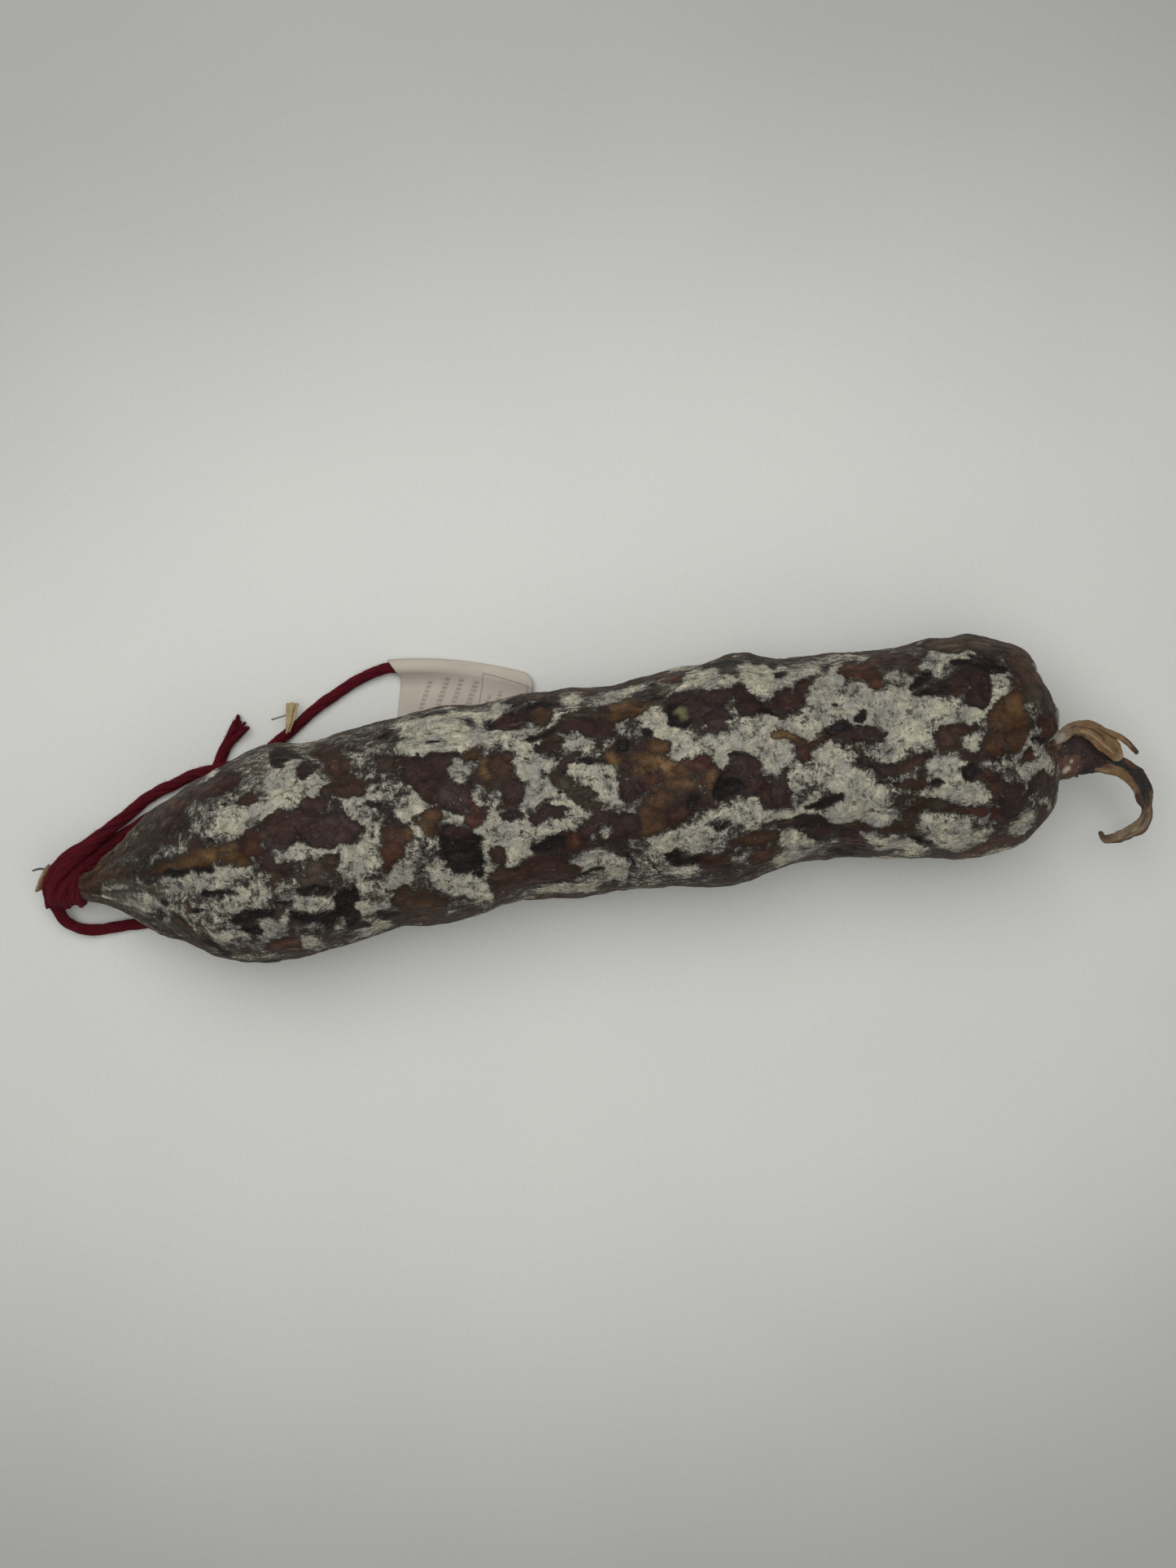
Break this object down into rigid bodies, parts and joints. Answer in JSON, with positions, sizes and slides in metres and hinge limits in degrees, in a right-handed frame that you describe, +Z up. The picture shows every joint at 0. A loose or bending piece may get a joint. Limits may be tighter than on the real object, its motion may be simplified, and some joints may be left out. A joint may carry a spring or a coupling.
{
  "type": "wild boar sausage",
  "caption": "Dry-cured wild boar sausage in mouldy natural casing, tied with crimson string at its pointed end, with a curled tail of casing and a folded paper tag.",
  "frame": {"origin": "centre of the bottom of the box round the sausage and its knot, on the surface it lies on", "axes": "+X from the tied pointed end to the tail, +Y to the side where the tag lies, +Z up"},
  "size_m": [0.2327, 0.0599, 0.0412],
  "materials": {
    "casing": "wrinkled translucent natural casing over dark meat, patched with dry grey-white mould",
    "cotton_string": "twisted cotton, matt and fluffy",
    "label_paper": "matt, lightly creased, with faint dark grey print as bars and one rectangle",
    "straw": "dry and slightly shiny"
  },
  "bodies": {
    "root": {"sausage": "casing", "string_knot": "cotton_string", "label_string": "cotton_string", "frayed_string": "cotton_string", "hanging_loop": "cotton_string", "label": "label_paper", "straw_wisp": "straw"}
  },
  "joints": []
}
